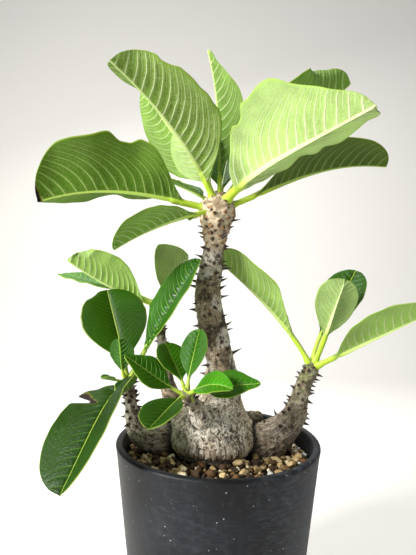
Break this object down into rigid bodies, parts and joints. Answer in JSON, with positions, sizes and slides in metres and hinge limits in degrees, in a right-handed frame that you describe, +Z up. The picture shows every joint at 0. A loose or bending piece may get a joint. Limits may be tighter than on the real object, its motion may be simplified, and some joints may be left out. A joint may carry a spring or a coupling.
{
  "type": "potted pachypodium",
  "caption": "Swollen, thorny succulent with leafy crowns on branches, growing in coarse grit in a round tapered pot; it stands as a living houseplant.",
  "frame": {"origin": "centre of the pot's flat base", "axes": "+Z up, from the base to the leaves; +X towards the long low branch, -X towards the large hanging leaf; the picture was taken from -Y"},
  "size_m": [0.2294, 0.1361, 0.3503],
  "materials": {
    "pot": "matte black fired clay",
    "mix": "loose grit",
    "bark": "rough bark",
    "leaf": "living leaf, satin",
    "pumice": "rough",
    "akadama": "rough",
    "quartz": "smooth"
  },
  "bodies": {
    "root": {"pot": "pot", "potting_mix": "mix", "stem": "bark", "leaf_top_left": "leaf", "leaf_top_left_raised": "leaf", "leaf_top_left_behind": "leaf", "leaf_top_small": "leaf", "leaf_top_upright": "leaf", "leaf_top_right_near": "leaf", "leaf_top_right_raised": "leaf", "leaf_top_right": "leaf", "leaf_top_left_low": "leaf", "leaf_top_back": "leaf", "leaf_top_back_left": "leaf", "leaf_top_back_low": "leaf", "leaf_middle_left": "leaf", "leaf_middle_back_left": "leaf", "leaf_middle_right": "leaf", "leaf_left_up": "leaf", "leaf_left_long": "leaf", "leaf_left_young": "leaf", "leaf_left_bud": "leaf", "leaf_left_hanging": "leaf", "leaf_front_left": "leaf", "leaf_front_back_left": "leaf", "leaf_front_up": "leaf", "leaf_front_near": "leaf", "leaf_front_right": "leaf", "leaf_front_low": "leaf", "leaf_right_long": "leaf", "leaf_right_round": "leaf", "leaf_right_back": "leaf", "leaf_right_far": "leaf", "stone_pumice_01": "pumice", "stone_pumice_02": "pumice", "stone_pumice_03": "pumice", "stone_pumice_04": "pumice", "stone_pumice_05": "pumice", "stone_pumice_06": "pumice", "stone_akadama_07": "akadama", "stone_akadama_08": "akadama", "stone_pumice_09": "pumice", "stone_quartz_10": "quartz", "stone_pumice_11": "pumice", "stone_quartz_12": "quartz", "stone_akadama_13": "akadama", "stone_pumice_14": "pumice", "stone_akadama_15": "akadama", "stone_pumice_16": "pumice"}
  },
  "joints": []
}
